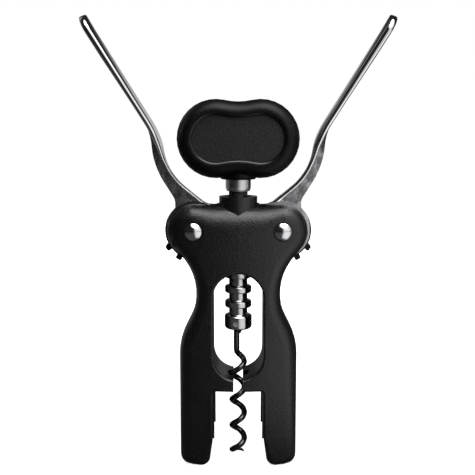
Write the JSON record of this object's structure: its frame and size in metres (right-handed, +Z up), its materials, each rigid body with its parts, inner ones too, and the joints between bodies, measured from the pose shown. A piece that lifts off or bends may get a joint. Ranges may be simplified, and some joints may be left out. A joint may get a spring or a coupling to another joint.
{
  "type": "wing corkscrew",
  "caption": "Wing corkscrew with two toothed levers, a ringed rack, a helical worm, an open two-legged bell and a soft lobed knob.",
  "frame": {"origin": "on the surface the feet stand on, under the worm axis", "axes": "+Z up along the worm axis, X across the two levers, front towards -Y"},
  "size_m": [0.1464, 0.0252, 0.215],
  "materials": {
    "casing": "fine-textured charcoal moulding",
    "liner": "smooth dark nylon",
    "rivet": "polished dome",
    "lever": "polished plating",
    "washer": "black nylon",
    "rack": "turned and plated",
    "worm": "glossy black non-stick coating",
    "ferrule": "polished steel",
    "grip": "soft-touch black",
    "panel": "fine-textured black"
  },
  "bodies": {
    "body": {"front_casing": "casing", "rear_casing": "casing", "guide_collar": "casing", "left_bell_liner": "liner", "right_bell_liner": "liner", "left_pivot_pin": "rivet", "right_pivot_pin": "rivet", "left_pivot_cap": "rivet", "right_pivot_cap": "rivet"},
    "left_wing": {"left_lever": "lever"},
    "right_wing": {"right_lever": "lever"},
    "slider": {"bumper_washer": "washer"},
    "spindle": {"rack": "rack", "worm": "worm", "worm_pin": "rack", "ferrule": "ferrule", "knob_core": "liner", "knob_grip": "grip", "knob_front_panel": "panel", "knob_rear_panel": "panel", "knob_pin": "rack"}
  },
  "joints": [
    {"name": "left_wing_hinge", "type": "hinge", "parent": "body", "child": "left_wing", "pos_m": [-0.0208, 0, 0.1155], "axis": [0, -1, 0], "range_deg": [-8, 145]},
    {"name": "right_wing_hinge", "type": "hinge", "parent": "body", "child": "right_wing", "pos_m": [0.0208, 0, 0.1155], "axis": [0, 1, 0], "range_deg": [-8, 145]},
    {"name": "rack_slide", "type": "slide", "parent": "body", "child": "slider", "axis": [0, 0, 1], "range_m": [-0.0022, 0.0393]},
    {"name": "spindle_spin", "type": "hinge", "parent": "slider", "child": "spindle", "pos_m": [0, 0, 0.116], "axis": [0, 0, 1], "continuous": true}
  ],
  "couplings": [
    {"joint": "right_wing_hinge", "follows": "left_wing_hinge", "ratio": 1},
    {"joint": "rack_slide", "follows": "left_wing_hinge", "m_per_rad": 0.0155}
  ]
}
